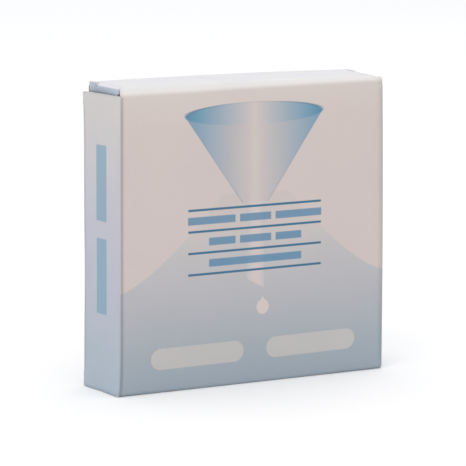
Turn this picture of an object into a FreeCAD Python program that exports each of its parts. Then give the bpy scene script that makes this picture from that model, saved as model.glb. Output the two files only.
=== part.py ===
import FreeCAD, Part
import math
import os

from FreeCAD import Vector

# Carton of 100 filter paper circles, standing on its bottom panel.
# Millimetres. X runs along the front, -Y is the front, +Z is up.
# The origin is the middle of the carton's base, on the surface it stands on.

# --- Driving dimensions of the carton ---
WIDTH = 95.0
DEPTH = 22.0
HEIGHT = 95.0
BOARD = 0.4            # thickness of the folding boxboard
FOLD_RADIUS = 1.0      # outside radius of the sleeve's long folds
GLUE = 0.1             # thickness of the adhesive film in the seam

# --- Creases that work as hinges ---
CREASE_RADIUS = BOARD / 2
CREASE_GAP = 0.1       # between a flap's cut root and the rounded edge it turns on

# --- Lids and tuck flaps that close the two ends ---
LID_LOW = 0.4          # lower raw edge of a lid
LID_HIGH = 92.4        # upper raw edge, which stays short of the sleeve's top
LID_CREASE_LOW = 1.2   # the crease starts above the rounded bottom fold
TUCK_CLEARANCE = 0.3   # between a folded tuck crease and the back panel
TUCK_LENGTH = 9.0
TUCK_LEAN = 16.0       # degrees past square, towards the contents
TUCK_LOW = 5.0
TUCK_HIGH = 88.4
TUCK_CORNER = 6.0      # radius of a tuck flap's free corners
TUCK_ROOT = 0.3        # where the tuck flap starts, from its crease axis

# --- Dust flaps, hinged on the top and bottom panels behind each lid ---
DUST_INSET = 0.6       # dust crease, inward of the lid's middle plane
DUST_LENGTH = 15.0
DUST_FRONT = 1.2       # gap between the lid's hinge axis and the flap's front edge
DUST_TAPER = 1.7       # reach gained per millimetre away from the lid's hinge
DUST_SHOULDER = 4.0    # depth of the full-width shoulder beside the crease
DUST_SHOULDER_GAP = 0.8   # shoulder edge to the back panel's outer face
DUST_NECK_GAP = 2.2    # edge below the shoulder to the back panel's outer face
DUST_CORNER = 2.0      # radius of the free corner beside the tuck flap
NOTCH_CLEARANCE = 0.1  # on each side of a dust flap's crease

# --- Glued seam under the top panel's rear edge ---
FLAP_WIDTH = 8.0       # reach of the glue flap from the back panel's inner face
FLAP_END = 44.0        # half length of the glue flap
FLAP_CHAMFER = 3.0     # cut-back ends of the glue flap
GLUE_WIDTH = 5.0
GLUE_END = 39.0        # half length of the adhesive film
GLUE_INSET = 2.0       # adhesive, from the back panel's inner face

# --- Filter paper circles ---
CIRCLE_RADIUS = 45.0
PAPER = 0.15           # thickness of one circle
PAPER_PITCH = 0.155    # one circle and the air to the next
STACK_COUNT = 99       # with the rear circle, 100 in all
STACK_FRONT = -8.4     # front face of the first circle
STACK_SHIFT = 1.2      # the circles lie towards the right end
CIRCLE_GAP = 0.05      # above the bottom panel
REAR_CIRCLE_Y = 7.0

# --- Values worked out from those ---
HALF_WIDTH = WIDTH / 2
HALF_DEPTH = DEPTH / 2
LID_PLANE = HALF_WIDTH - BOARD / 2          # middle plane of a closed lid
SLEEVE_END = HALF_WIDTH - BOARD             # raw ends of the sleeve
HINGE_Y = -HALF_DEPTH + BOARD / 2           # lid crease axis, at the front
BACK_INNER_Y = HALF_DEPTH - BOARD
TUCK_Y = BACK_INNER_Y - TUCK_CLEARANCE - BOARD / 2   # tuck crease axis
DUST_X = LID_PLANE - DUST_INSET             # dust crease axes
DUST_Y_FRONT = HINGE_Y + DUST_FRONT
DUST_Y_SHOULDER = HALF_DEPTH - DUST_SHOULDER_GAP
DUST_Y_NECK = HALF_DEPTH - DUST_NECK_GAP
SEAM_TOP = HEIGHT - BOARD - GLUE            # upper face of the glue flap
FLAP_FRONT_Y = BACK_INNER_Y - FLAP_WIDTH
OUTSIDE = 2.0          # how far the cutting shapes reach past the carton
SAME_DIRECTION = 1e-6  # longest cross product that still counts as parallel

parts = {}


def block(x_range, y_range, z_range):
    """A box between two limits on each axis."""
    corner = Vector(x_range[0], y_range[0], z_range[0])
    return Part.makeBox(
        x_range[1] - x_range[0],
        y_range[1] - y_range[0],
        z_range[1] - z_range[0],
        corner,
    )


def prism(points, direction):
    """A solid from a closed outline, swept along a direction."""
    wire = Part.makePolygon(points + [points[0]])
    return Part.Face(wire).extrude(direction)


def edges_along(shape, axis):
    """The straight edges of a block that run along an axis."""
    found = []
    for edge in shape.Edges:
        run = edge.Vertexes[-1].Point - edge.Vertexes[0].Point
        if run.cross(axis).Length < SAME_DIRECTION:
            found.append(edge)
    return found


def mirrored(shape):
    """The same piece at the carton's other end."""
    return shape.mirror(Vector(0, 0, 0), Vector(1, 0, 0))


# --- Sleeve: four panels, a glue flap and the adhesive ---


def tube(height):
    """The sleeve's rounded cross-section, as one tube along X."""
    along = Vector(1, 0, 0)
    sides = (-SLEEVE_END, SLEEVE_END)
    outer = block(sides, (-HALF_DEPTH, HALF_DEPTH), (0, height))
    outer = outer.makeFillet(FOLD_RADIUS, edges_along(outer, along))
    inner = block(
        (-HALF_WIDTH - OUTSIDE, HALF_WIDTH + OUTSIDE),
        (-HALF_DEPTH + BOARD, HALF_DEPTH - BOARD),
        (BOARD, height - BOARD),
    )
    inner = inner.makeFillet(FOLD_RADIUS - BOARD, edges_along(inner, along))
    return outer.cut(inner)


def wedge(height, side):
    """The region of one panel, cut from its neighbours through the middle of each fold."""
    y_in = HALF_DEPTH - FOLD_RADIUS
    y_out = HALF_DEPTH + OUTSIDE
    low_in, low_out = FOLD_RADIUS, -OUTSIDE
    high_in, high_out = height - FOLD_RADIUS, height + OUTSIDE
    outlines = {
        "front": [(-y_in, low_in), (-y_out, low_out), (-y_out, high_out), (-y_in, high_in)],
        "back": [(y_in, low_in), (y_out, low_out), (y_out, high_out), (y_in, high_in)],
        "top": [(-y_in, high_in), (-y_out, high_out), (y_out, high_out), (y_in, high_in)],
        "bottom": [(-y_in, low_in), (-y_out, low_out), (y_out, low_out), (y_in, low_in)],
    }
    points = [Vector(-HALF_WIDTH, y, z) for y, z in outlines[side]]
    return prism(points, Vector(WIDTH, 0, 0))


def make_front_panel():
    """Front panel with the rounded edges that both lids turn on."""
    panel = tube(HEIGHT).common(wedge(HEIGHT, "front"))
    for side in (-1, 1):
        reach = sorted((side * (SLEEVE_END - BOARD), side * LID_PLANE))
        edge = block(
            reach,
            (-HALF_DEPTH, -HALF_DEPTH + BOARD),
            (LID_CREASE_LOW, LID_HIGH),
        )
        bead = Part.makeCylinder(
            CREASE_RADIUS,
            LID_HIGH - LID_CREASE_LOW,
            Vector(side * LID_PLANE, HINGE_Y, LID_CREASE_LOW),
            Vector(0, 0, 1),
        )
        panel = panel.fuse([edge, bead])
    return panel.removeSplitter()


def with_dust_creases(panel, z_middle):
    """Cut a panel back at both ends and round the edges that the dust flaps turn on."""
    span = (DUST_Y_FRONT - NOTCH_CLEARANCE, DUST_Y_SHOULDER + NOTCH_CLEARANCE)
    for side in (-1, 1):
        beyond = sorted((side * DUST_X, side * (HALF_WIDTH + OUTSIDE)))
        notch = block(beyond, span, (z_middle - BOARD, z_middle + BOARD))
        bead = Part.makeCylinder(
            CREASE_RADIUS,
            DUST_Y_SHOULDER - DUST_Y_FRONT,
            Vector(side * DUST_X, DUST_Y_FRONT, z_middle),
            Vector(0, 1, 0),
        )
        panel = panel.cut(notch).fuse(bead)
    return panel.removeSplitter()


def make_top_panel():
    """Top panel, folded from the front and cut raw where it covers the seam."""
    front_half = tube(HEIGHT).common(wedge(HEIGHT, "top"))
    front_half = front_half.common(
        block((-HALF_WIDTH, HALF_WIDTH), (-HALF_DEPTH, 0), (0, HEIGHT))
    )
    rear_half = block(
        (-SLEEVE_END, SLEEVE_END), (0, HALF_DEPTH), (HEIGHT - BOARD, HEIGHT)
    )
    panel = front_half.fuse(rear_half)
    return with_dust_creases(panel, HEIGHT - BOARD / 2)


def make_bottom_panel():
    """Bottom panel, the flat face that the carton stands on."""
    panel = tube(HEIGHT).common(wedge(HEIGHT, "bottom"))
    return with_dust_creases(panel, BOARD / 2)


def make_back_panel():
    """Back panel, whose upper fold runs into the glue flap."""
    return tube(SEAM_TOP).common(wedge(SEAM_TOP, "back"))


def make_glue_flap():
    """Glue flap under the top panel, with its ends cut back at an angle."""
    y_back = HALF_DEPTH
    outline = [
        Vector(-FLAP_END, y_back, 0),
        Vector(FLAP_END, y_back, 0),
        Vector(FLAP_END - FLAP_CHAMFER, FLAP_FRONT_Y, 0),
        Vector(-FLAP_END + FLAP_CHAMFER, FLAP_FRONT_Y, 0),
    ]
    trim = prism(outline, Vector(0, 0, HEIGHT))
    return tube(SEAM_TOP).common(wedge(SEAM_TOP, "top")).common(trim)


def make_glue_line():
    """Film of adhesive between the glue flap and the top panel."""
    y_back = BACK_INNER_Y - GLUE_INSET
    return block(
        (-GLUE_END, GLUE_END), (y_back - GLUE_WIDTH, y_back), (SEAM_TOP, HEIGHT - BOARD)
    )


# --- End closure, drawn at the left and mirrored for the right ---


def make_lid():
    """Lid that turns on the front panel's edge, with a rounded crease at its rear."""
    plate = block(
        (-HALF_WIDTH, -SLEEVE_END),
        (HINGE_Y + CREASE_RADIUS + CREASE_GAP, TUCK_Y),
        (LID_LOW, LID_HIGH),
    )
    bead = Part.makeCylinder(
        CREASE_RADIUS,
        LID_HIGH - LID_LOW,
        Vector(-LID_PLANE, TUCK_Y, LID_LOW),
        Vector(0, 0, 1),
    )
    return plate.fuse(bead).removeSplitter()


def make_tuck_flap():
    """Tuck flap inside the back panel, leaning towards the contents."""
    plate = block(
        (-LID_PLANE + TUCK_ROOT, -LID_PLANE + TUCK_LENGTH),
        (TUCK_Y - BOARD / 2, TUCK_Y + BOARD / 2),
        (TUCK_LOW, TUCK_HIGH),
    )
    free_x = -LID_PLANE + TUCK_LENGTH
    free_edges = [
        edge
        for edge in edges_along(plate, Vector(0, 1, 0))
        if abs(edge.Vertexes[0].X - free_x) < BOARD
    ]
    flap = plate.makeFillet(TUCK_CORNER, free_edges)
    flap.rotate(Vector(-LID_PLANE, TUCK_Y, 0), Vector(0, 0, 1), -TUCK_LEAN)
    return flap


def make_dust_flap(z_crease, inward):
    """Dust flap behind the lid. inward is -1 from the top panel, +1 from the bottom panel."""

    def at(y, reach):
        return Vector(-DUST_X - BOARD / 2, y, z_crease + inward * reach)

    root = CREASE_RADIUS + CREASE_GAP
    taper_start = DUST_TAPER * DUST_FRONT - BOARD
    taper_y = DUST_Y_FRONT + (DUST_LENGTH - taper_start) / DUST_TAPER
    corner_y = DUST_Y_NECK - DUST_CORNER
    mid = DUST_CORNER * (1 - math.cos(math.radians(45)))
    corner = Part.Arc(
        at(corner_y, DUST_LENGTH),
        at(DUST_Y_NECK - mid, DUST_LENGTH - mid),
        at(DUST_Y_NECK, DUST_LENGTH - DUST_CORNER),
    ).toShape()
    before = Part.makePolygon(
        [
            at(DUST_Y_SHOULDER, root),
            at(DUST_Y_FRONT, root),
            at(DUST_Y_FRONT, taper_start),
            at(taper_y, DUST_LENGTH),
            at(corner_y, DUST_LENGTH),
        ]
    )
    after = Part.makePolygon(
        [
            at(DUST_Y_NECK, DUST_LENGTH - DUST_CORNER),
            at(DUST_Y_NECK, DUST_SHOULDER),
            at(DUST_Y_SHOULDER, DUST_SHOULDER),
            at(DUST_Y_SHOULDER, root),
        ]
    )
    outline = Part.Wire(before.Edges + [corner] + after.Edges)
    return Part.Face(outline).extrude(Vector(BOARD, 0, 0))


# --- Contents ---


def make_circle(y_front):
    """One filter paper circle, standing on its edge."""
    centre = Vector(STACK_SHIFT, y_front, BOARD + CIRCLE_GAP + CIRCLE_RADIUS)
    return Part.makeCylinder(CIRCLE_RADIUS, PAPER, centre, Vector(0, 1, 0))


def make_filter_stack():
    """The circles that lie together, each a solid of its own."""
    circles = [
        make_circle(STACK_FRONT + number * PAPER_PITCH) for number in range(STACK_COUNT)
    ]
    return Part.makeCompound(circles)


parts["front_panel"] = make_front_panel()
parts["top_panel"] = make_top_panel()
parts["back_panel"] = make_back_panel()
parts["bottom_panel"] = make_bottom_panel()
parts["glue_flap"] = make_glue_flap()
parts["glue_line"] = make_glue_line()
parts["filter_stack"] = make_filter_stack()
parts["rear_circle"] = make_circle(REAR_CIRCLE_Y)

closure = {
    "lid": make_lid(),
    "tuck_flap": make_tuck_flap(),
    "top_dust_flap": make_dust_flap(HEIGHT - BOARD / 2, -1),
    "bottom_dust_flap": make_dust_flap(BOARD / 2, 1),
}
for name, shape in closure.items():
    parts["left_" + name] = shape
    parts["right_" + name] = mirrored(shape)

os.makedirs("parts", exist_ok=True)
for name, shape in parts.items():
    shape.exportStep(os.path.join("parts", name + ".step"))
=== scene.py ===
import math

import bpy
from mathutils import Matrix, Vector, noise


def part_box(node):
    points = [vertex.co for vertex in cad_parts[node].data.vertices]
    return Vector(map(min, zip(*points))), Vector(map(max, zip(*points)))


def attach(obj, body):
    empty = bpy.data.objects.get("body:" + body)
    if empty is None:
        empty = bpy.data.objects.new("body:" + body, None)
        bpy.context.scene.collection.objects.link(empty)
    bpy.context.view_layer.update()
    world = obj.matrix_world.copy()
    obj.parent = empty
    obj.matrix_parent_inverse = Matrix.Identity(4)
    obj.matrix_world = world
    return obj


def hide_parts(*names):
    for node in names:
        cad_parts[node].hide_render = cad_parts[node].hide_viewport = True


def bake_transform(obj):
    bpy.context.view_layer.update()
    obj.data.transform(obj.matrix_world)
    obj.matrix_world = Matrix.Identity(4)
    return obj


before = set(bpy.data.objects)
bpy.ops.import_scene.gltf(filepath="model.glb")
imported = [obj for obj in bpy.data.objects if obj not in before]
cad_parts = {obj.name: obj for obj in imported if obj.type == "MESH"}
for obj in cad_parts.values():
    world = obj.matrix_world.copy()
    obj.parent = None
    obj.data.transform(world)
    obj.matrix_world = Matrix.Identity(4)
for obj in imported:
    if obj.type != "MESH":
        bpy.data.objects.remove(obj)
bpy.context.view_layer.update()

# Looks of a folding carton of filter paper circles. Metres, in the CAD frame:
# X runs along the front, -Y is the front, +Z is up, and the base stands on z = 0.

scene = bpy.context.scene

MM = 0.001
QUARTER = math.pi / 2
HAIR = 0.01 * MM       # step over which a sheet's outline jumps in or out
UV_NAME = "blank"      # flat-blank coordinates, in units of UV_UNIT
UV_UNIT = 100 * MM

# --- Places and sizes taken from the CAD nodes ---
lid_low, lid_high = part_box("left_lid")
tuck_low, tuck_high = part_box("left_tuck_flap")
dust_low, dust_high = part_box("left_top_dust_flap")
stack_low, stack_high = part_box("filter_stack")
rear_low, rear_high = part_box("rear_circle")
glue_flap_low, glue_flap_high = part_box("glue_flap")

HALF_WIDTH = -lid_low.x
SLEEVE_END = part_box("top_panel")[1].x
FRONT_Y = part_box("front_panel")[0].y
REAR_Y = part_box("back_panel")[1].y
TOP_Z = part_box("top_panel")[1].z
DEPTH = REAR_Y - FRONT_Y
BOARD = lid_high.x - lid_low.x
LID_HIGH_Z = lid_high.z
SEAM_Z = glue_flap_high.z

# --- Folds of the board: outside radii, and where they begin ---
FOLD = 1.15 * MM             # the sleeve's long folds
LID_FOLD = 0.6 * MM
TUCK_FOLD = 1.4 * MM
DUST_FOLD = 0.8 * MM
LID_START_X = HALF_WIDTH - LID_FOLD         # where a lid's crease leaves the front panel
DUST_START_X = -dust_low.x - DUST_FOLD      # where a dust flap's crease leaves its panel
CREASE_LOW_Z = 1.3 * MM      # lower end of the lids' creases
NOTCH_GAP = 0.1 * MM         # on each side of a cut that ends a crease

# --- How the board of a filled carton settles ---
TOP_BULGE = 0.4 * MM
BASE_BULGE = 0.15 * MM       # the carton stands on the slight bulge of its base
FACE_BULGE = 0.3 * MM        # of the front and the back
FACE_DRIFT = 0.08 * MM       # unevenness of the front and the back
DRIFT_SCALE = 40.0
DRIFT_PLACE = Vector((3.0, 1.0, 7.0))
FOOT_SPREAD = 0.6 * MM       # how far the front's lower left corner spreads to the left
FOOT_START_X = 36 * MM       # where the spread begins, left of the middle
FOOT_FULL_Y = 9 * MM         # where it is full, in front of the middle
FOOT_FADE_Z = 4 * MM         # height over which it fades
RACK_LEFT = 0.8 * MM         # how far the upper right corner leans to the left
RACK_LEFT_TWIST = 0.4 * MM   # more than that at the front, less at the back
RACK_DOWN = 0.15 * MM        # how far the same corner sinks
RACK_DOWN_TWIST = 0.3 * MM


# ---------------- paths and sheets


class Path:
    """A line in a plane made of straight runs and round folds, followed by its length."""

    def __init__(self, start, heading, normal_turn):
        self.point = Vector(start)
        self.heading = heading
        self.normal_turn = normal_turn
        self.pieces = []
        self.length = 0.0

    def run(self, length):
        self.pieces.append(("run", self.length, self.point.copy(), self.heading, 0.0))
        self.point = self.point + compass(self.heading) * length
        self.length += length

    def fold(self, radius, turn):
        sign = math.copysign(1.0, turn)
        self.pieces.append(("fold", self.length, self.point.copy(), self.heading, sign * radius))
        centre = self.point + compass(self.heading + sign * QUARTER) * radius
        spoke = self.point - centre
        spoke.rotate(Matrix.Rotation(turn, 2))
        self.point = centre + spoke
        self.heading += turn
        self.length += radius * abs(turn)

    def at(self, distance):
        """The point and the outward normal at a distance along the path."""
        piece = self.pieces[0]
        for candidate in self.pieces:
            if candidate[1] <= distance:
                piece = candidate
        kind, begun, start, heading, radius = piece
        gone = distance - begun
        if kind == "run":
            place = start + compass(heading) * gone
            facing = heading
        else:
            sign = math.copysign(1.0, radius)
            centre = start + compass(heading + sign * QUARTER) * abs(radius)
            facing = heading + gone / radius
            place = centre + compass(facing - sign * QUARTER) * abs(radius)
        return place, compass(facing + self.normal_turn)


def compass(angle):
    """The unit vector in a plane that points along an angle."""
    return Vector((math.cos(angle), math.sin(angle)))


def smooth(value, low, high):
    """0 up to low, 1 from high on, with soft ends."""
    share = min(1.0, max(0.0, (value - low) / (high - low)))
    return share * share * (3 - 2 * share)


def divided(low, high, count):
    """Values from low to high in count equal steps."""
    return [low + (high - low) * number / count for number in range(count + 1)]


def steps(low, high, size):
    """Values from low to high in equal steps, no further apart than size."""
    slack = 1e-6
    return divided(low, high, max(1, math.ceil(abs(high - low) / size - slack)))


def joined(*lists):
    """Ordered values with the repeats taken out."""
    closest = 1e-7
    values = []
    for some in lists:
        for value in some:
            if not values or abs(value - values[-1]) > closest:
                values.append(value)
    return values


def corner_cut(distance, end, reach, cut):
    """How much of a sheet's edge a rounded corner takes away, nearing the sheet's end."""
    into = min(1.0, max(0.0, (distance - (end - reach)) / reach))
    return cut * (1 - math.sqrt(1 - into**2))


def relax(point):
    """Where a point of a true, square carton goes once the board has settled."""
    across = min(1.0, abs(point.x) / HALF_WIDTH)
    middle = 1 - across**2
    height = min(1.0, max(0.0, point.z / TOP_Z))
    face = min(1.0, max(-1.0, point.y / REAR_Y))
    moved = point.copy()
    moved.z += TOP_BULGE * middle * smooth(height, 0.5, 1.0)
    moved.z -= BASE_BULGE * middle * (1 - smooth(height, 0.0, 0.3))
    drift = noise.noise(point * DRIFT_SCALE + DRIFT_PLACE)
    moved.y += FACE_BULGE * middle * math.sin(math.pi * height) * face
    moved.y += FACE_DRIFT * drift * middle * face
    foot = smooth(-point.x, FOOT_START_X, HALF_WIDTH) * smooth(-point.y, 0.0, FOOT_FULL_Y)
    moved.x -= FOOT_SPREAD * foot * math.exp(-point.z / FOOT_FADE_Z)
    racked = smooth(point.x, -HALF_WIDTH, HALF_WIDTH) * height**2
    moved.x -= racked * (RACK_LEFT - RACK_LEFT_TWIST * face)
    moved.z -= racked * (RACK_DOWN - RACK_DOWN_TWIST * face)
    return moved


OUTER_SIDE, INNER_SIDE, RAW_EDGE = range(3)     # the material slots of a sheet


def make_sheet(name, grid, place, materials, missing=None):
    """A sheet of board from rows of flat (u, v) points, folded by place and given its thickness.

    materials are those of the outer side, the inner side and the raw edges. missing says which
    cells of the grid are cut out."""
    outer_index = {}
    inner_index = {}
    points = []
    flats = []

    def corner(row, column):
        key = (row, column)
        if key not in outer_index:
            flat = grid[row][column]
            point, normal = place(*flat)
            for index, depth in ((outer_index, 0.0), (inner_index, BOARD)):
                index[key] = len(points)
                points.append(relax(point - normal * depth))
                flats.append(flat)
        return key

    cells = []
    for row in range(len(grid) - 1):
        for column in range(len(grid[0]) - 1):
            if missing is None or not missing(row, column):
                cells.append((row, column))
    filled = set(cells)
    faces = []
    kinds = []
    for row, column in cells:
        ring = [
            corner(row, column),
            corner(row, column + 1),
            corner(row + 1, column + 1),
            corner(row + 1, column),
        ]
        faces.append([outer_index[key] for key in ring])
        kinds.append(OUTER_SIDE)
        faces.append([inner_index[key] for key in reversed(ring)])
        kinds.append(INNER_SIDE)
        sides = [
            ((row - 1, column), ring[0], ring[1]),
            ((row, column + 1), ring[1], ring[2]),
            ((row + 1, column), ring[2], ring[3]),
            ((row, column - 1), ring[3], ring[0]),
        ]
        for neighbour, first, second in sides:
            if neighbour not in filled:
                outer = [outer_index[second], outer_index[first]]
                inner = [inner_index[first], inner_index[second]]
                faces.append(outer + inner)
                kinds.append(RAW_EDGE)

    mesh = bpy.data.meshes.new(name)
    mesh.from_pydata([tuple(point) for point in points], [], faces)
    for material in materials:
        mesh.materials.append(material)
    layer = mesh.uv_layers.new(name=UV_NAME)
    for polygon, kind in zip(mesh.polygons, kinds):
        polygon.material_index = kind
        polygon.use_smooth = kind != RAW_EDGE
        for loop in polygon.loop_indices:
            vertex = mesh.loops[loop].vertex_index
            u, v = flats[vertex]
            inward = BOARD * (vertex % 2) if kind == RAW_EDGE else 0.0
            layer.data[loop].uv = ((u + inward) / UV_UNIT, (v + inward) / UV_UNIT)
    return make_piece(name, mesh)


def make_piece(name, mesh):
    """An object from a closed mesh, with its faces turned outwards."""
    mesh.update()
    mesh.validate()
    volume = 0.0
    for polygon in mesh.polygons:
        corners = [mesh.vertices[index].co for index in polygon.vertices]
        for second, third in zip(corners[1:], corners[2:]):
            volume += corners[0].dot(second.cross(third))
    if volume < 0:
        mesh.flip_normals()
    piece = bpy.data.objects.new(name, mesh)
    scene.collection.objects.link(piece)
    return piece


# ---------------- node materials


def linear(red, green, blue):
    """A colour given as display values from 0 to 255, as linear light."""
    channels = []
    for value in (red, green, blue):
        share = value / 255
        if share <= 0.04045:
            channels.append(share / 12.92)
        else:
            channels.append(((share + 0.055) / 1.055) ** 2.4)
    return (*channels, 1.0)


class Graph:
    """Short calls for building one node material."""

    # Sockets of a mix node that works on colours.
    MIX_SHARE, MIX_FIRST, MIX_SECOND, MIX_RESULT = 0, 6, 7, 2

    def __init__(self, name):
        self.material = bpy.data.materials.new(name)
        self.material.use_nodes = True
        self.tree = self.material.node_tree
        self.surface = self.tree.nodes["Principled BSDF"]

    def node(self, kind, **settings):
        made = self.tree.nodes.new(kind)
        for key, value in settings.items():
            setattr(made, key, value)
        return made

    def feed(self, socket, value):
        if isinstance(value, bpy.types.NodeSocket):
            self.tree.links.new(value, socket)
        else:
            socket.default_value = value

    def math(self, operation, first, second=None):
        made = self.node("ShaderNodeMath", operation=operation)
        self.feed(made.inputs[0], first)
        if second is not None:
            self.feed(made.inputs[1], second)
        return made.outputs[0]

    def plus(self, first, second):
        return self.math("ADD", first, second)

    def minus(self, first, second):
        return self.math("SUBTRACT", first, second)

    def times(self, *values):
        """The product of two or more values."""
        product = values[0]
        for value in values[1:]:
            product = self.math("MULTIPLY", product, value)
        return product

    def limited(self, value, low, high):
        return self.math("MAXIMUM", self.math("MINIMUM", value, high), low)

    def away(self, value, place):
        """How far a value lies from a place."""
        return self.math("ABSOLUTE", self.minus(value, place))

    def rise(self, value, low, high, start=0.0, end=1.0, kind="SMOOTHSTEP"):
        """start up to low, end from high on, with soft ends unless kind says otherwise."""
        made = self.node("ShaderNodeMapRange", interpolation_type=kind)
        self.feed(made.inputs["Value"], value)
        made.inputs["From Min"].default_value = low
        made.inputs["From Max"].default_value = high
        made.inputs["To Min"].default_value = start
        made.inputs["To Max"].default_value = end
        return made.outputs["Result"]

    def straight(self, value, low, high, start=0.0, end=1.0):
        """start up to low, end from high on, in a straight line between."""
        return self.rise(value, low, high, start, end, kind="LINEAR")

    def below(self, value, place, soft):
        """1 below a place, 0 above it."""
        return self.rise(value, place - soft, place + soft, 1.0, 0.0)

    def above(self, value, place, soft):
        """0 below a place, 1 above it."""
        return self.rise(value, place - soft, place + soft)

    def band(self, value, low, high, soft):
        """1 between low and high, 0 outside."""
        return self.times(self.above(value, low, soft), self.below(value, high, soft))

    def ramp(self, value, stops):
        """A colour that changes with a value, from (value, red, green, blue) stops."""
        low = stops[0][0]
        high = stops[-1][0]
        made = self.node("ShaderNodeValToRGB")
        elements = made.color_ramp.elements
        while len(elements) < len(stops):
            elements.new(0.5)
        for element, (place, *tone) in zip(elements, stops):
            element.position = (place - low) / (high - low)
            element.color = linear(*tone)
        self.feed(made.inputs[0], self.straight(value, low, high))
        return made.outputs["Color"]

    def mix(self, share, first, second):
        made = self.node("ShaderNodeMix", data_type="RGBA")
        self.feed(made.inputs[self.MIX_SHARE], share)
        self.feed(made.inputs[self.MIX_FIRST], first)
        self.feed(made.inputs[self.MIX_SECOND], second)
        return made.outputs[self.MIX_RESULT]

    def flat(self):
        """The blank's own coordinates in millimetres, as a vector."""
        uv = self.node("ShaderNodeUVMap", uv_map=UV_NAME)
        scale = self.node("ShaderNodeVectorMath", operation="SCALE")
        self.feed(scale.inputs[0], uv.outputs["UV"])
        scale.inputs["Scale"].default_value = UV_UNIT / MM
        return scale.outputs[0]

    def parts(self, vector):
        """The first two coordinates of a vector."""
        split = self.node("ShaderNodeSeparateXYZ")
        self.feed(split.inputs[0], vector)
        return split.outputs[0], split.outputs[1]

    def grain(self, vector, scale, detail=3.0, roughness=0.6):
        made = self.node("ShaderNodeTexNoise", noise_dimensions="2D")
        self.feed(made.inputs["Vector"], vector)
        made.inputs["Scale"].default_value = scale
        made.inputs["Detail"].default_value = detail
        made.inputs["Roughness"].default_value = roughness
        return made.outputs["Fac"]

    def solid_grain(self, scale):
        """Noise through an object's own space, for pieces with no flat coordinates."""
        place = self.node("ShaderNodeTexCoord")
        made = self.node("ShaderNodeTexNoise")
        self.feed(made.inputs["Vector"], place.outputs["Object"])
        made.inputs["Scale"].default_value = scale
        return made.outputs["Fac"]

    def stretched(self, vector, along, across):
        made = self.node("ShaderNodeMapping")
        self.feed(made.inputs["Vector"], vector)
        made.inputs["Scale"].default_value = (along, across, 1.0)
        return made.outputs[0]

    def bump(self, height, strength, distance):
        made = self.node("ShaderNodeBump")
        self.feed(made.inputs["Height"], height)
        made.inputs["Strength"].default_value = strength
        made.inputs["Distance"].default_value = distance
        self.tree.links.new(made.outputs[0], self.surface.inputs["Normal"])

    def finish(self, colour, roughness, specular):
        self.feed(self.surface.inputs["Base Color"], colour)
        self.feed(self.surface.inputs["Roughness"], roughness)
        self.surface.inputs["Specular IOR Level"].default_value = specular
        return self.material


# ---------------- the print

# Tones. A stop is a height, or a distance from the middle, in millimetres, and its colour.
FRONT_STOPS = [
    (0, 201, 189, 185),
    (50, 201, 189, 185),
    (82, 202, 190, 185),
    (92.1, 206, 195, 190),
    (93.3, 228, 224, 220),
    (95, 227, 226, 224),
    (98, 226, 225, 228),
]
HILL_STOPS = [
    (0, 150, 161, 172),
    (4, 154, 165, 175),
    (12, 160, 168, 175),
    (18, 167, 172, 178),
    (24, 173, 174, 179),
    (30, 179, 178, 182),
    (38, 184, 181, 183),
    (45, 190, 185, 184),
    (50, 197, 187, 183),
]
LID_STOPS = [
    (0, 167, 179, 191),
    (12, 168, 179, 190),
    (20, 174, 180, 192),
    (30, 178, 181, 193),
    (40, 181, 183, 195),
    (55, 186, 186, 196),
    (70, 192, 190, 194),
    (80, 197, 193, 194),
    (93, 202, 197, 195),
]
CONE_STOPS = [
    (0, 201, 189, 184),
    (2.5, 194, 184, 182),
    (5.4, 186, 180, 180),
    (9.4, 174, 174, 178),
    (13.4, 160, 168, 179),
    (16.4, 148, 164, 177),
    (19.4, 136, 158, 175),
    (25, 115, 148, 172),
]
MOUTH_STOPS = [
    (0, 202, 190, 185),
    (5.4, 180, 179, 181),
    (9.4, 164, 171, 181),
    (13.4, 144, 162, 176),
    (16.4, 130, 156, 174),
    (19.4, 110, 150, 173),
    (25, 80, 131, 159),
]
STEM_STOPS = [
    (0, 204, 193, 190),
    (1.6, 201, 191, 189),
    (3.4, 188, 184, 185),
]
CONE_OUTLINE = linear(128, 142, 160)
MOUTH_OUTLINE = linear(96, 122, 146)
DROP_TONE = linear(206, 193, 189)
RULE_INK = linear(55, 106, 137)
DASH_INK = linear(54, 123, 161)
LID_INK = linear(112, 154, 176)
PALE_BAR_TONE = linear(188, 184, 183)
TUCK_TONE = linear(214, 212, 212)
CREASE_SHADE_TONE = linear(104, 108, 116)
RUBBED_TONE = linear(196, 196, 200)
CLOUD_TONE = linear(150, 150, 158)
FIBRE_TONE = linear(236, 233, 231)

# Layout, in millimetres: heights above the base, and places along the front from its middle.
HALF = HALF_WIDTH / MM
ASKEW = 0.008                # fall of the print for each millimetre to the left
MARGIN_START_X = -22         # the white margin narrows from here to the right edge
MARGIN_LEFT = -0.15
MARGIN_RIGHT = 1.3
HILL_SIDE_Z = 32.3           # the hill's border at the carton's edges
HILL_RISE = 16.0             # its rise half way from an edge to the middle
HILL_CURVE = 1.4
HILL_FLAT_FROM = 1.5         # half ways from an edge, where it turns level
HILL_SOFT = 0.35
FUNNEL_X = -0.1
CONE_LOW_Z = 57.5
CONE_HIGH_Z = 85.1
CONE_LOW_HALF = 4.6
CONE_HIGH_HALF = 24.8
MOUTH_RISE = 3.5             # half the height of the mouth's oval
STEM_HALF = 3.15
STEM_END_Z = 31.8            # the slanting cut of the stem, at the middle
STEM_SLANT = 0.55
DROP_X = 2.65
DROP_Z = 24.1
DROP_RADIUS = 2.4
DROP_TIP_Z = 27.6
DROP_TAPER = 0.72
DROP_SHOULDER_Z = 25.1
RULE_LOW_Z = 36.16           # the lowest of four ruled lines
RULE_SPACING = 6.7
RULE_HALF_LENGTH = 23.9
RULE_HALF_WIDTH = 0.36
BLOCK_LOW_Z = 35.6           # the lines and dashes lie between these
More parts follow.
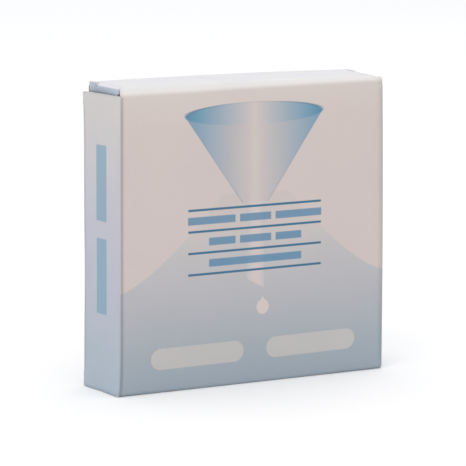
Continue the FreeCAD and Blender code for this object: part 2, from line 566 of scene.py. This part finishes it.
BLOCK_HIGH_Z = 56.8
DASH_HALF_WIDTH = 1.2
DASH_SHORT = 16.6            # half lengths of the lower two rows and of the top row
DASH_LONG = 24.0
DASH_LONG_FROM_Z = 49.4
DASH_GAP_LOW = 5.6
DASH_GAP_HIGH = 7.2
DASH_GAP_FROM_Z = 42.7       # the lowest row has no gaps
PALE_BAR_X = 20.4
PALE_BAR_Z = 10.8
PALE_BAR_HALF = 13.0         # half its length without the round ends
PALE_BAR_RADIUS = 3.3
LID_BAR_LOW_X = 7.2          # from the lid's crease
LID_BAR_HIGH_X = 12.9
LID_BAR_MIDDLE_Z = 50.5
LID_BAR_GAP = 2.7            # half the gap between the two bars
LID_BAR_REACH = 26.2
TUCK_FROM_X = 22.3           # where the print ends, from the lid's crease


def height_above_base(graph, up):
    """Height above the base on the front and the back alike, from the blank's own height."""
    half_depth = DEPTH / MM / 2
    return graph.minus(graph.away(up, -half_depth), half_depth)


def add_hill(graph, colour, reach, up):
    """A hill of tone whose border rises from each side towards the middle."""
    height = height_above_base(graph, up)
    inward = graph.math("DIVIDE", graph.minus(HALF, reach), HALF / 2)
    inward = graph.limited(inward, 0.0, HILL_FLAT_FROM)
    rise = graph.times(graph.math("POWER", inward, HILL_CURVE), HILL_RISE)
    border = graph.plus(rise, HILL_SIDE_Z)
    hill = graph.above(graph.minus(border, height), 0.0, HILL_SOFT)
    return graph.mix(hill, colour, graph.ramp(height, HILL_STOPS))


def add_cone(graph, colour, across, up):
    """The funnel's cone, shaded darker to both sides, with a thin outline."""
    aside = graph.away(across, FUNNEL_X)
    half = graph.straight(up, CONE_LOW_Z, CONE_HIGH_Z, CONE_LOW_HALF, CONE_HIGH_HALF)
    inside = graph.minus(half, aside)
    in_height = graph.band(up, CONE_LOW_Z, CONE_HIGH_Z + 0.3, soft=0.25)
    cone = graph.times(graph.above(inside, 0.0, soft=0.25), in_height)
    colour = graph.mix(cone, colour, graph.ramp(aside, CONE_STOPS))
    outline = graph.times(graph.band(inside, -0.15, 0.35, soft=0.2), in_height, 0.35)
    return graph.mix(outline, colour, CONE_OUTLINE)


def add_mouth(graph, colour, across, up):
    """The funnel's oval mouth, with an outline that is stronger to both sides."""
    aside = graph.away(across, FUNNEL_X)
    wide = graph.math("POWER", graph.math("DIVIDE", aside, CONE_HIGH_HALF), 2.0)
    high = graph.math("DIVIDE", graph.minus(up, CONE_HIGH_Z), MOUTH_RISE)
    oval = graph.plus(wide, graph.times(high, high))
    colour = graph.mix(graph.below(oval, 1.0, soft=0.06), colour, graph.ramp(aside, MOUTH_STOPS))
    outline = graph.band(oval, 0.88, 1.06, soft=0.06)
    outline = graph.times(outline, graph.rise(up, CONE_HIGH_Z - 0.1, CONE_HIGH_Z + 1.4))
    outline = graph.times(outline, graph.rise(aside, 4.0, 22.0, start=0.15, end=0.65))
    return graph.mix(outline, colour, MOUTH_OUTLINE)


def add_stem(graph, colour, across, reach, up):
    """The funnel's pale stem, cut on a slant."""
    end = graph.minus(STEM_END_Z, graph.times(across, STEM_SLANT))
    stem = graph.above(graph.minus(up, end), 0.0, soft=0.2)
    stem = graph.times(stem, graph.below(reach, STEM_HALF, soft=0.3))
    stem = graph.times(stem, graph.below(up, CONE_LOW_Z, soft=0.2))
    return graph.mix(stem, colour, graph.ramp(reach, STEM_STOPS))


def add_drop(graph, colour, across, up):
    """A drop below the stem: a round part with a pointed top."""
    below_middle = graph.minus(up, DROP_Z)
    circle = graph.minus(DROP_RADIUS**2, graph.times(below_middle, below_middle))
    circle = graph.math("SQRT", graph.math("MAXIMUM", circle, 0.0))
    tip = graph.times(graph.minus(DROP_TIP_Z, up), DROP_TAPER)
    tip = graph.times(tip, graph.above(up, DROP_SHOULDER_Z, soft=0.1))
    half = graph.math("MINIMUM", graph.math("MAXIMUM", circle, tip), DROP_RADIUS)
    inside = graph.minus(half, graph.away(across, DROP_X))
    return graph.mix(graph.rise(inside, 0.0, 0.35), colour, DROP_TONE)


def add_ruled_dashes(graph, colour, reach, up):
    """Four ruled lines with rows of plain dashes between them."""
    middle = RULE_SPACING / 2
    block = graph.band(up, BLOCK_LOW_Z, BLOCK_HIGH_Z, soft=0.05)

    phase = graph.math("MODULO", graph.minus(up, RULE_LOW_Z - middle), RULE_SPACING)
    rule = graph.band(phase, middle - RULE_HALF_WIDTH, middle + RULE_HALF_WIDTH, soft=0.12)
    rule = graph.times(rule, graph.below(reach, RULE_HALF_LENGTH, soft=0.2), block)
    colour = graph.mix(rule, colour, RULE_INK)

    phase = graph.math("MODULO", graph.minus(up, RULE_LOW_Z), RULE_SPACING)
    rows = graph.band(phase, middle - DASH_HALF_WIDTH, middle + DASH_HALF_WIDTH, soft=0.15)
    half = graph.rise(up, DASH_LONG_FROM_Z - 0.2, DASH_LONG_FROM_Z + 0.2, DASH_SHORT, DASH_LONG)
    dash = graph.above(graph.minus(half, reach), 0.0, soft=0.15)
    gaps = graph.band(reach, DASH_GAP_LOW, DASH_GAP_HIGH, soft=0.15)
    gaps = graph.times(gaps, graph.above(up, DASH_GAP_FROM_Z, soft=0.2))
    dash = graph.times(dash, graph.minus(1.0, gaps), rows, block, 0.78)
    return graph.mix(dash, colour, DASH_INK)


def add_pale_bars(graph, colour, reach, up):
    """Two broad pale bars with round ends, low on the front."""
    along = graph.minus(graph.away(reach, PALE_BAR_X), PALE_BAR_HALF)
    along = graph.math("MAXIMUM", along, 0.0)
    aside = graph.minus(up, PALE_BAR_Z)
    span = graph.plus(graph.times(along, along), graph.times(aside, aside))
    bar = graph.below(graph.math("SQRT", span), PALE_BAR_RADIUS, soft=0.2)
    return graph.mix(bar, colour, PALE_BAR_TONE)


def add_lids(graph, colour, reach, up):
    """The lids' own tone with two upright bars. The tuck flaps beyond are unprinted."""
    bars = graph.band(reach, HALF + LID_BAR_LOW_X, HALF + LID_BAR_HIGH_X, soft=0.2)
    span = graph.away(up, LID_BAR_MIDDLE_Z)
    bars = graph.times(bars, graph.band(span, LID_BAR_GAP, LID_BAR_REACH, soft=0.2), 0.72)
    lid = graph.mix(bars, graph.ramp(up, LID_STOPS), LID_INK)
    colour = graph.mix(graph.above(reach, HALF - 0.2, soft=0.3), colour, lid)
    return graph.mix(graph.above(reach, HALF + TUCK_FROM_X, soft=0.7), colour, TUCK_TONE)


def add_crease_shade_and_wear(graph, colour, flat, across, up):
    """Painted shade as a darker line in the lids' creases, and print rubbed along the base fold."""
    # painted shade: a thin darker line down both lids' creases, below the top fold
    left = graph.band(across, 0.35 - HALF, 1.3 - HALF, soft=0.3)
    right = graph.band(across, HALF - 0.5, HALF + 0.15, soft=0.2)
    crease = graph.times(graph.plus(left, right), graph.below(up, 92.05, soft=0.55), 0.36)
    colour = graph.mix(crease, colour, CREASE_SHADE_TONE)
    speck = graph.grain(flat, scale=1.6, detail=4.0, roughness=0.7)
    rub_wear_and_gap_shadow = graph.band(up, -0.9, 0.1, soft=0.4)
    rub_wear_and_gap_shadow = graph.times(rub_wear_and_gap_shadow, graph.rise(speck, 0.5, 0.7, start=0.0, end=0.4))
    return graph.mix(rub_wear_and_gap_shadow, colour, RUBBED_TONE)


def printed_board():
    """White-lined board with a generic funnel pictogram, a hill of tone and plain bars."""
    graph = Graph("printed_board")
    flat = graph.flat()
    across, up = graph.parts(flat)
    reach = graph.math("ABSOLUTE", across)
    askew_up = graph.minus(up, graph.times(across, ASKEW))

    margin = graph.straight(across, MARGIN_START_X, HALF, MARGIN_LEFT, MARGIN_RIGHT)
    colour = graph.ramp(graph.minus(height_above_base(graph, up), margin), FRONT_STOPS)
    colour = add_hill(graph, colour, reach, askew_up)
    colour = add_cone(graph, colour, across, askew_up)
    colour = add_mouth(graph, colour, across, askew_up)
    colour = add_stem(graph, colour, across, reach, askew_up)
    colour = add_drop(graph, colour, across, askew_up)
    colour = add_ruled_dashes(graph, colour, reach, askew_up)
    colour = add_pale_bars(graph, colour, reach, askew_up)
    colour = add_lids(graph, colour, reach, up)
    colour = add_crease_shade_and_wear(graph, colour, flat, across, up)

    cloud = graph.grain(flat, scale=0.05, detail=3.0, roughness=0.55)
    colour = graph.mix(graph.rise(cloud, 0.35, 0.75, start=0.0, end=0.04), colour, CLOUD_TONE)
    fine = graph.grain(graph.stretched(flat, 1.0, 3.2), scale=1.3, detail=4.0, roughness=0.65)
    colour = graph.mix(graph.rise(fine, 0.45, 0.85, start=0.0, end=0.06), colour, FIBRE_TONE)
    graph.bump(graph.plus(fine, graph.times(cloud, 2.0)), strength=0.06, distance=0.15 * MM)
    return graph.finish(colour, graph.rise(cloud, 0.3, 0.7, start=0.46, end=0.58), specular=0.25)


# ---------------- bare board, paper and glue


def board_fibres(graph, flat):
    return graph.grain(graph.stretched(flat, 0.5, 3.0), scale=1.7, detail=5.0, roughness=0.7)


def plain_board(name, light, dark, roughness):
    """Unprinted board: short fibres, flecks and a soft cloudiness."""
    graph = Graph(name)
    flat = graph.flat()
    fibres = board_fibres(graph, flat)
    colour = graph.mix(graph.rise(fibres, 0.3, 0.75), dark, light)
    flecks = graph.grain(flat, scale=5.0, detail=2.0, roughness=0.5)
    flecks = graph.rise(flecks, 0.68, 0.8, start=0.0, end=0.35)
    colour = graph.mix(flecks, colour, linear(128, 124, 118))
    cloud = graph.grain(flat, scale=0.08)
    colour = graph.mix(graph.rise(cloud, 0.3, 0.8, start=0.0, end=0.15), colour, light)
    graph.bump(fibres, strength=0.12, distance=0.12 * MM)
    return graph.finish(colour, roughness, specular=0.2)


def flap_board():
    """The dust flaps' coated side: white on the crease, greyer below as painted shade, with a painted
    shadow line just under the lid's edge.
    """
    graph = Graph("flap_board")
    flat = graph.flat()
    from_crease, depth = graph.parts(flat)
    fibres = board_fibres(graph, flat)
    # painted shade: the white coated flap gets a blue-grey tone for the shaded recess behind the lid
    colour = graph.mix(graph.rise(fibres, 0.3, 0.75), linear(178, 187, 202), linear(187, 195, 209))
    crease = graph.times(graph.below(from_crease, 1.1, soft=0.35), graph.below(depth, 5.6, soft=0.2))
    colour = graph.mix(crease, colour, linear(226, 224, 228))
    # painted shadow: a dark line in the gap just under the lid's top edge
    rub_wear_and_gap_shadow = graph.band(from_crease, 2.95, 3.7, soft=0.3)
    rub_wear_and_gap_shadow = graph.times(rub_wear_and_gap_shadow, graph.rise(fibres, 0.2, 0.7, start=0.3, end=0.6))
    colour = graph.mix(rub_wear_and_gap_shadow, colour, linear(104, 112, 128))
    graph.bump(fibres, strength=0.12, distance=0.12 * MM)
    return graph.finish(colour, roughness=0.6, specular=0.2)


def filter_paper():
    """Soft uncoated paper with crossed fibres."""
    graph = Graph("filter_paper")
    flat = graph.flat()
    lengthways = graph.grain(graph.stretched(flat, 0.6, 2.4), scale=1.4, detail=5.0, roughness=0.7)
    crossways = graph.grain(graph.stretched(flat, 2.2, 0.7), scale=1.2, detail=5.0, roughness=0.7)
    fibres = graph.times(graph.plus(lengthways, crossways), 0.5)
    colour = graph.mix(graph.rise(fibres, 0.35, 0.65), linear(226, 223, 214), linear(246, 244, 238))
    graph.bump(fibres, strength=0.25, distance=0.1 * MM)
    return graph.finish(colour, roughness=0.95, specular=0.1)


def dried_glue():
    """Cloudy film of dried adhesive."""
    graph = Graph("dried_glue")
    cloud = graph.solid_grain(scale=300.0)
    colour = graph.mix(cloud, linear(228, 220, 196), linear(206, 194, 164))
    return graph.finish(colour, roughness=0.35, specular=0.5)


PRINT = printed_board()
OUTER = flap_board()
INNER = plain_board("board_inside", linear(186, 181, 172), linear(160, 155, 147), 0.85)
EDGE = plain_board("board_edge", linear(236, 233, 230), linear(218, 214, 210), 0.9)
PAPER = filter_paper()
GLUE = dried_glue()


# ---------------- sleeve

SLEEVE_COLUMN = 2.4 * MM     # widths and heights of the sleeve's mesh cells
STRIP_ROW = 1 * MM
DUST_ROW = 2 * MM
FRONT_ROW = 2.5 * MM
BACK_ROW = 3 * MM
SEAM_ROW = 1.5 * MM
FLAP_CHAMFER = 3 * MM        # cut-back ends of the glue flap


def make_sleeve():
    """Top, front, bottom and back panels and the glue flap, one folded strip of board.

    The strip runs from the top panel's rear edge to the front, the base, the back and the seam."""
    bend = FOLD * QUARTER
    path = Path((REAR_Y, TOP_Z), math.pi, -QUARTER)
    path.run(DEPTH - FOLD)
    path.fold(FOLD, QUARTER)
    front_top = path.length
    path.run(TOP_Z - 2 * FOLD)
    front_base = path.length
    path.fold(FOLD, QUARTER)
    path.run(DEPTH - 2 * FOLD)
    base_rear = path.length
    path.fold(FOLD, QUARTER)
    back_base = path.length
    path.run(SEAM_Z - 2 * FOLD)
    back_top = path.length
    path.fold(FOLD, QUARTER)
    flap_start = path.length
    path.run(REAR_Y - FOLD - glue_flap_low.y)
    zero = front_top + TOP_Z - FOLD     # where the flat height is 0, at the front's lower end

    bend_row = bend / 6
    crease_front = dust_low.y - NOTCH_GAP
    crease_rear = dust_high.y + NOTCH_GAP
    top_rear = REAR_Y - crease_rear
    top_front = REAR_Y - crease_front
    lid_top = zero - LID_HIGH_Z - NOTCH_GAP
    lid_base = zero - CREASE_LOW_Z + NOTCH_GAP
    base_front = front_base + bend + crease_front - (FRONT_Y + FOLD)
    base_back = front_base + bend + crease_rear - (FRONT_Y + FOLD)

    behind_creases = steps(0, top_rear, STRIP_ROW)
    top_creases = steps(top_rear + HAIR, top_front, DUST_ROW)
    above_lids = joined(
        steps(top_front + HAIR, DEPTH - FOLD, STRIP_ROW),
        steps(DEPTH - FOLD, front_top, bend_row),
        steps(front_top, lid_top, STRIP_ROW),
    )
    lid_creases = steps(lid_top + HAIR, lid_base, FRONT_ROW)
    below_lids = joined(
        steps(lid_base + HAIR, front_base, bend_row),
        steps(front_base, front_base + bend, bend_row),
        steps(front_base + bend, base_front, STRIP_ROW),
    )
    base_creases = steps(base_front + HAIR, base_back, DUST_ROW)
    back = joined(
        steps(base_back + HAIR, base_rear, STRIP_ROW),
        steps(base_rear, back_base, bend_row),
        steps(back_base, back_top, BACK_ROW),
        steps(back_top, back_top + bend / 2, bend_row),
    )
    glue_flap = joined(
        steps(back_top + bend / 2 + HAIR, flap_start, bend_row),
        steps(flap_start, path.length, SEAM_ROW),
    )
    flap_half = -glue_flap_low.x
    spans = [
        (behind_creases, SLEEVE_END, SLEEVE_END),
        (top_creases, DUST_START_X, DUST_START_X),
        (above_lids, SLEEVE_END, SLEEVE_END),
        (lid_creases, LID_START_X, LID_START_X),
        (below_lids, SLEEVE_END, SLEEVE_END),
        (base_creases, DUST_START_X, DUST_START_X),
        (back, SLEEVE_END, SLEEVE_END),
        (glue_flap, flap_half, flap_half - FLAP_CHAMFER),
    ]
    columns = steps(-1, 1, SLEEVE_COLUMN / HALF_WIDTH)
    grid = []
    for distances, first_half, last_half in spans:
        for distance in distances:
            share = (distance - distances[0]) / (distances[-1] - distances[0])
            half = first_half + (last_half - first_half) * share
            grid.append([(column * half, zero - distance) for column in columns])

    def place(u, v):
        point, normal = path.at(zero - v)
        return Vector((u, point.x, point.y)), Vector((0, normal.x, normal.y))

    sheet = make_sheet("sleeve_board", grid, place, (PRINT, INNER, EDGE))
    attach(sheet, "sleeve")
    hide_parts("front_panel", "top_panel", "back_panel", "bottom_panel", "glue_flap")


# ---------------- lids and tuck flaps

TUCK_GAP = 0.2 * MM          # between a closed lid's rounded rear edge and the back panel
TUCK_LEAN = math.radians(16)     # past square, towards the contents
TUCK_REACH = 8.6 * MM
TUCK_CORNER = 6 * MM         # reach of a tuck flap's rounded free corners along the flap
TUCK_CORNER_CUT = 0.93       # their height, as a share of that
LID_SHOULDER = 0.62 * MM     # raw rear edges of a lid above and below its tuck flap
LID_CORNER_Y = 2.4 * MM      # worn lower rear corner of a lid
LID_CORNER_Z = 0.55 * MM
LID_TOP_CORNER = 0.8 * MM
LID_ROW = 1.2 * MM
LID_COLUMN = 2.2 * MM
LID_END_COLUMNS = 4
BOW_AJAR = math.radians(7)   # a lid this far ajar bows by these amounts
BOW_TOP = 0.25 * MM
BOW_BASE = 0.1 * MM
BOW_HOLLOW = 0.2 * MM
HOLLOW_LEVEL = 0.39          # middle and half height of the hollow, as shares of the height
HOLLOW_REACH = 0.13
DENT_DEPTH = 0.35 * MM       # a small dent near the lid's upper edge, beside its crease
DENT_FROM_CREASE = 3.2 * MM
DENT_REACH = 1.1 * MM
DENT_Z = 91.2 * MM
DENT_REACH_Z = 1.3 * MM
HANG_AJAR = math.radians(5)  # a lid this far ajar hangs nearly as low as the base bulges
HANG_SHARE = 0.9
LEFT_AJAR = math.radians(6.1)
RIGHT_AJAR = math.radians(0.8)


def make_closure(side, ajar):
    """The lid and tuck flap at one end: side is -1 at the left and +1 at the right.

    ajar is the angle by which the lid stands off its closed place."""
    name = "left" if side < 0 else "right"
    tuck_turn = QUARTER + ajar + TUCK_LEAN
    path = Path((-LID_START_X, FRONT_Y), math.pi, QUARTER)
    path.fold(LID_FOLD, -(QUARTER - ajar))
    lid_start = path.length
    path.run(REAR_Y - BOARD - FRONT_Y - LID_FOLD - TUCK_FOLD - TUCK_GAP)
    tuck_start = path.length
    path.fold(TUCK_FOLD, -tuck_turn)
    tuck_fold_end = path.length
    path.run(TUCK_REACH)
    shoulder = tuck_start + LID_SHOULDER
    tuck_base, tuck_top = tuck_low.z, tuck_high.z

    def bow(distance, height):
        """How far an ajar lid bows out."""
        rear_share = smooth(distance, lid_start, tuck_start)
        rear_share *= 1 - smooth(distance, shoulder, path.length)
        level = height / TOP_Z
        hollow = math.exp(-(((level - HOLLOW_LEVEL) / HOLLOW_REACH) ** 2))
        depth = BOW_TOP * smooth(level, 0.8, 1.0) + BOW_BASE * (1 - smooth(level, 0.0, 0.25))
        return (depth - BOW_HOLLOW * hollow) * rear_share * ajar / BOW_AJAR

    def dent(distance, height):
        """How far the dent goes in."""
        along = (distance - DENT_FROM_CREASE) / DENT_REACH
        up = (height - DENT_Z) / DENT_REACH_Z
        return DENT_DEPTH * math.exp(-(along**2) - up**2)

    def place(u, v):
        distance = abs(u) - LID_START_X
        point, normal = path.at(distance)
        if distance > tuck_start and not tuck_base <= v <= tuck_top:
            root, normal = path.at(tuck_start - HAIR)
            point = root + Vector((normal.y, -normal.x)) * (distance - tuck_start)
        x = point.x - bow(distance, v) + dent(distance, v)
        return Vector((-side * x, point.y, v)), Vector((-side * normal.x, normal.y, 0))

    lid_distances = joined(
        steps(0, lid_start, lid_start / 8),
        steps(lid_start, tuck_start, LID_ROW),
        steps(tuck_start, shoulder, LID_SHOULDER / 4),
    )
    last_full_row = lid_distances.index(tuck_start)
    hang = HANG_SHARE * BASE_BULGE * min(1.0, ajar / HANG_AJAR)
    rows = []
    for distance in lid_distances:
        low = CREASE_LOW_Z * (1 - smooth(distance, 0, lid_start))
        low -= hang * smooth(distance, lid_start, tuck_start)
        low += corner_cut(distance, shoulder, LID_CORNER_Y, LID_CORNER_Z)
        high = LID_HIGH_Z - corner_cut(distance, shoulder, LID_TOP_CORNER, LID_TOP_CORNER)
        levels = joined(
            divided(low, tuck_base - NOTCH_GAP, LID_END_COLUMNS),
            steps(tuck_base - NOTCH_GAP, tuck_top + NOTCH_GAP, LID_COLUMN),
            divided(tuck_top + NOTCH_GAP, high, LID_END_COLUMNS),
        )
        rows.append([(side * (LID_START_X + distance), level) for level in levels])

    def behind_tuck(row, column):
        return row >= last_full_row and LID_END_COLUMNS <= column < len(rows[0]) - 1 - LID_END_COLUMNS

    lid = make_sheet(name + "_lid_board", rows, place, (PRINT, INNER, EDGE), behind_tuck)
    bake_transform(lid)
    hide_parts(name + "_lid")

    round_end = [path.length - TUCK_CORNER * (1 - math.sin(turn)) for turn in divided(0, QUARTER, 10)]
    tuck_distances = joined(
        steps(tuck_start, tuck_fold_end, TUCK_FOLD / 5),
        steps(tuck_fold_end, path.length - TUCK_CORNER, LID_ROW),
        round_end,
    )
    tuck_rows = []
    for distance in tuck_distances:
        cut = corner_cut(distance, path.length, TUCK_CORNER, TUCK_CORNER * TUCK_CORNER_CUT)
        levels = divided(tuck_base + cut, tuck_top - cut, 40)
        tuck_rows.append([(side * (LID_START_X + distance), level) for level in levels])
    tuck = make_sheet(name + "_tuck_board", tuck_rows, place, (PRINT, INNER, EDGE))
    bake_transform(tuck)
    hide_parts(name + "_tuck_flap")


# ---------------- dust flaps

DUST_NECK_GAP = 1.4 * MM     # how much narrower a flap is beyond its shoulder
DUST_SHOULDER = 2.6 * MM     # depth of the full-width shoulder below the crease
DUST_CORNER = 2 * MM         # radius of the free corner beside the tuck flap
DUST_TAPER_START = 0.6 * MM  # below the crease
DUST_SLOPE = 1.7             # reach gained per millimetre away from the lid's hinge
DUST_SHOULDER_ROW = 0.65 * MM
DUST_FLAP_ROW = 1.5 * MM
DUST_CORNER_ROW = 0.25 * MM
TAB_FRONT_Y = 5.6 * MM       # front edge of the raised tab beside each dust flap's crease
TAB_RISE = 0.2 * MM          # how far the left top tab stands above the top
TAB_OUT = 0.12 * MM          # how far the tabs stand out from their flaps
TAB_OUT_FADE = 5 * MM
BEFORE_TAB_COLUMNS = 12
TAB_COLUMNS = 5


def make_dust_flap(side, upper):
    """A dust flap and its crease: side is -1 or +1, upper is True at the top."""
    name = ("left" if side < 0 else "right") + ("_top" if upper else "_bottom") + "_dust_flap"
    path = Path((-DUST_START_X, TOP_Z), math.pi, -QUARTER)
    path.fold(DUST_FOLD, QUARTER)
    fold_end = path.length
    path.run(TOP_Z - DUST_FOLD - dust_low.z)
    shoulder_end = fold_end + DUST_SHOULDER
    corner_start = path.length - DUST_CORNER
    raised = TAB_RISE if upper and side < 0 else 0.0

    fold_distances = steps(0, fold_end, fold_end / 7)
    distances = joined(
        fold_distances,
        steps(fold_end, shoulder_end, DUST_SHOULDER_ROW),
        steps(shoulder_end + HAIR, corner_start, DUST_FLAP_ROW),
        steps(corner_start, path.length, DUST_CORNER_ROW),
    )
    rows = []
    for distance in distances:
        front = dust_low.y + max(0.0, distance - fold_end - DUST_TAPER_START) / DUST_SLOPE
        rear = dust_high.y
        if distance > shoulder_end:
            into = max(0.0, distance - corner_start)
            rounding = DUST_CORNER - math.sqrt(max(0.0, DUST_CORNER**2 - into**2))
            rear = dust_high.y - DUST_NECK_GAP - rounding
        split = min(TAB_FRONT_Y, front + (rear - front) * 0.8)
        before_tab = divided(front, split, BEFORE_TAB_COLUMNS)
        tab = divided(split + NOTCH_GAP, rear, TAB_COLUMNS)
        rows.append([(distance, y) for y in before_tab + tab])

    def place(u, v):
        point, normal = path.at(u)
        x, z = point.x, point.y
        normal_x, normal_z = normal.x, normal.y
        on_tab = v > TAB_FRONT_Y + NOTCH_GAP / 2
        if on_tab and u < fold_end:
            x = -DUST_START_X - DUST_FOLD
            z = TOP_Z - DUST_FOLD + (1 - u / fold_end) * (DUST_FOLD + raised)
            normal_x, normal_z = -1.0, 0.0
        if on_tab:
            x -= TAB_OUT * (1 - smooth(u, fold_end, fold_end + TAB_OUT_FADE))
        if not upper:
            z = TOP_Z - z
            normal_z = -normal_z
        return Vector((-side * x, v, z)), Vector((-side * normal_x, 0, normal_z))

    def slit(row, column):
        return column == BEFORE_TAB_COLUMNS and row < len(fold_distances)

    flap = make_sheet(name + "_board", rows, place, (OUTER, INNER, EDGE), slit)
    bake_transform(flap)
    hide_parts(name)


# ---------------- filter paper circles

CIRCLE_COUNT = 99
CIRCLE_THICKNESS = 0.15 * MM
CIRCLE_RADIUS = (stack_high.x - stack_low.x) / 2
CIRCLE_SEGMENTS = 120
CIRCLE_RINGS = (0.35, 0.7, 0.94, 1.0)    # as shares of the radius
CIRCLE_SHIFT = 0.12 * MM     # how far a circle lies out of line with the others
CIRCLE_FLAT_STEP = 7 * MM    # between one circle's flat coordinates and the next one's
STACK_WAVE = 0.25 * MM       # curl of the circles' rims
REAR_WAVE = 0.3 * MM


def out_of_line(number):
    """The small shift of one circle, sideways and upwards."""
    aside = noise.noise(Vector((number * 0.37, 5.0, 0.0)))
    lifted = 0.5 + 0.5 * noise.noise(Vector((number * 0.41, 9.0, 0.0)))
    return Vector((aside, 0, lifted)) * CIRCLE_SHIFT


def circle_mesh(name, centres, thickness, wave):
    """Thin discs that stand on edge, each one a little out of line with the next."""
    count = CIRCLE_SEGMENTS
    side_points = 1 + len(CIRCLE_RINGS) * count
    points = []
    faces = []
    flats = []
    for number, centre in enumerate(centres):
        flat_x = centre.x + number * CIRCLE_FLAT_STEP
        shift = out_of_line(number)
        for back in (0, 1):
            hub = len(points)
            first = hub + 1
            points.append(centre + shift + Vector((0, back * thickness, 0)))
            flats.append((flat_x, centre.z))
            for ring in CIRCLE_RINGS:
                for segment in range(count):
                    angle = 2 * math.pi * segment / count
                    x = math.cos(angle) * CIRCLE_RADIUS * ring
                    z = math.sin(angle) * CIRCLE_RADIUS * ring
                    curl = wave * ring**3 * math.sin(2 * angle + 0.6)
                    points.append(centre + shift + Vector((x, curl + back * thickness, z)))
                    flats.append((flat_x + x, centre.z + z))
            for segment in range(count):
                after = (segment + 1) % count
                side = [(hub, first + segment, first + after)]
                for ring in range(len(CIRCLE_RINGS) - 1):
                    a = first + ring * count + segment
                    b = first + ring * count + after
                    side.append((a, a + count, b + count, b))
                faces += [face[::-1] if back else face for face in side]
        rim = first + (len(CIRCLE_RINGS) - 1) * count
        for segment in range(count):
            a = rim + segment
            b = rim + (segment + 1) % count
            faces.append((a - side_points, a, b, b - side_points))
    mesh = bpy.data.meshes.new(name)
    mesh.from_pydata([tuple(point) for point in points], [], faces)
    mesh.materials.append(PAPER)
    layer = mesh.uv_layers.new(name=UV_NAME)
    for loop in mesh.loops:
        u, v = flats[loop.vertex_index]
        layer.data[loop.index].uv = (u / UV_UNIT, v / UV_UNIT)
    return make_piece(name, mesh)


def place_circles(piece, node):
    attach(piece, node)
    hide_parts(node)


def make_circles():
    """The stack and the rear circle."""
    middle = (stack_low + stack_high) / 2
    pitch = (stack_high.y - stack_low.y - CIRCLE_THICKNESS) / (CIRCLE_COUNT - 1)
    centres = []
    for number in range(CIRCLE_COUNT):
        centres.append(Vector((middle.x, stack_low.y + number * pitch, middle.z)))
    stack = circle_mesh("filter_circles", centres, CIRCLE_THICKNESS * 0.9, STACK_WAVE)
    place_circles(stack, "filter_stack")
    rear_centre = (rear_low + rear_high) / 2
    rear_centre.y = rear_low.y + 0.5 * MM
    single = circle_mesh("rear_filter_circle", [rear_centre], CIRCLE_THICKNESS, REAR_WAVE)
    place_circles(single, "rear_circle")


make_sleeve()
make_closure(-1, LEFT_AJAR)
make_closure(1, RIGHT_AJAR)
for end_side in (-1, 1):
    make_dust_flap(end_side, True)
    make_dust_flap(end_side, False)
make_circles()
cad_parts["glue_line"].data.materials.clear()
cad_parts["glue_line"].data.materials.append(GLUE)


# ---------------- floor, light and camera

FLOOR_SIZE = 30
FLOOR_WHITE = (0.97, 0.97, 0.97, 1)
FLOOR_PALE = (0.955, 0.955, 0.955, 1)
FLOOR_GLOW = 0.05
SKY_TONE = (0.985, 0.99, 1.0, 1)
SKY_STRENGTH = 0.96
VIEW_YAW = math.radians(29.17)
VIEW_PITCH = math.radians(8.83)
VIEW_ROLL = math.radians(0.35)
VIEW_DISTANCE = 0.823
VIEW_ASIDE = 1.7 * MM        # how far the camera stands left of, and below, its aim at the middle
VIEW_BELOW = 1.44 * MM
VIEW_LENS = 201.3


def make_floor():
    """A wide pale floor under the carton."""
    graph = Graph("floor")
    colour = graph.mix(graph.solid_grain(scale=1.5), FLOOR_PALE, FLOOR_WHITE)
    graph.surface.inputs["Emission Color"].default_value = (1, 1, 1, 1)
    graph.surface.inputs["Emission Strength"].default_value = FLOOR_GLOW
    graph.finish(colour, roughness=0.9, specular=0.0)
    bpy.ops.mesh.primitive_plane_add(size=FLOOR_SIZE, location=(0, 0, -BASE_BULGE))
    floor = bpy.context.object
    floor.name = "floor"
    floor.data.materials.append(graph.material)


def make_lamp(name, place, size, power):
    """A soft square lamp aimed at the carton's middle."""
    lamp = bpy.data.lights.new(name, "AREA")
    lamp.size = size
    lamp.energy = power
    holder = bpy.data.objects.new(name, lamp)
    holder.location = place
    aim = Vector((0, 0, TOP_Z / 2)) - holder.location
    holder.rotation_euler = aim.to_track_quat("-Z", "Y").to_euler()
    scene.collection.objects.link(holder)


def make_sky():
    """Even light from all sides."""
    world = bpy.data.worlds.new("studio")
    world.use_nodes = True
    background = world.node_tree.nodes["Background"]
    background.inputs["Color"].default_value = SKY_TONE
    background.inputs["Strength"].default_value = SKY_STRENGTH
    scene.world = world


def make_camera():
    """A long lens in front of the carton, to its left and slightly above."""
    level = Vector((math.cos(VIEW_YAW), -math.sin(VIEW_YAW), 0))
    flat_forward = Vector((math.sin(VIEW_YAW), math.cos(VIEW_YAW), 0))
    forward = flat_forward * math.cos(VIEW_PITCH) - Vector((0, 0, math.sin(VIEW_PITCH)))
    above = level.cross(forward)
    right = level * math.cos(VIEW_ROLL) + above * math.sin(VIEW_ROLL)
    up = above * math.cos(VIEW_ROLL) - level * math.sin(VIEW_ROLL)
    place = Vector((0, 0, TOP_Z / 2)) - forward * VIEW_DISTANCE - right * VIEW_ASIDE - up * VIEW_BELOW
    camera = bpy.data.cameras.new("camera")
    camera.lens = VIEW_LENS
    camera.sensor_width = 36
    holder = bpy.data.objects.new("camera", camera)
    axes = Matrix((right, up, -forward)).transposed()
    holder.matrix_world = Matrix.Translation(place) @ axes.to_4x4()
    scene.collection.objects.link(holder)
    scene.camera = holder


make_floor()
make_lamp("key", place=(-0.6, -0.5, 1.1), size=0.7, power=2.2)
make_lamp("fill", place=(0.9, 0.6, 0.9), size=0.9, power=0.8)
make_sky()
make_camera()
scene.view_settings.view_transform = "Standard"
